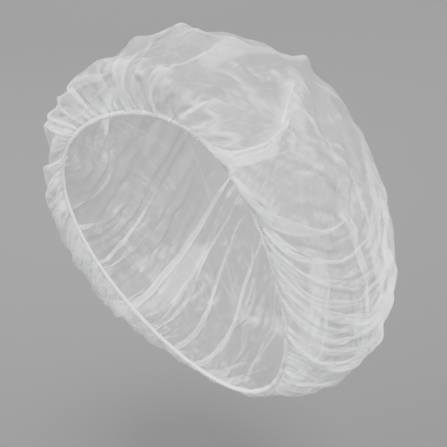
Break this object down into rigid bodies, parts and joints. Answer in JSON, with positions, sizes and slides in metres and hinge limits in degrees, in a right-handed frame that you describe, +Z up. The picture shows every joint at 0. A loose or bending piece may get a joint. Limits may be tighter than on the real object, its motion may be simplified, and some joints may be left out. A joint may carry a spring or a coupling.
{
  "type": "round cap",
  "caption": "Disposable round non-woven cap, gathered on an elastic edge, in its worn shape. It covers the wearer's head.",
  "frame": {"origin": "on the bag's inner face at the top, where the cap bears on what wears it", "axes": "+Z up, -Y towards the forehead side, +X towards the wearer's left"},
  "size_m": [0.2411, 0.27, 0.2916],
  "materials": {
    "crown": "matte, sheer",
    "elastic_edge": "matte"
  },
  "bodies": {
    "root": {"crown": "crown", "elastic_edge": "elastic_edge"}
  },
  "joints": []
}
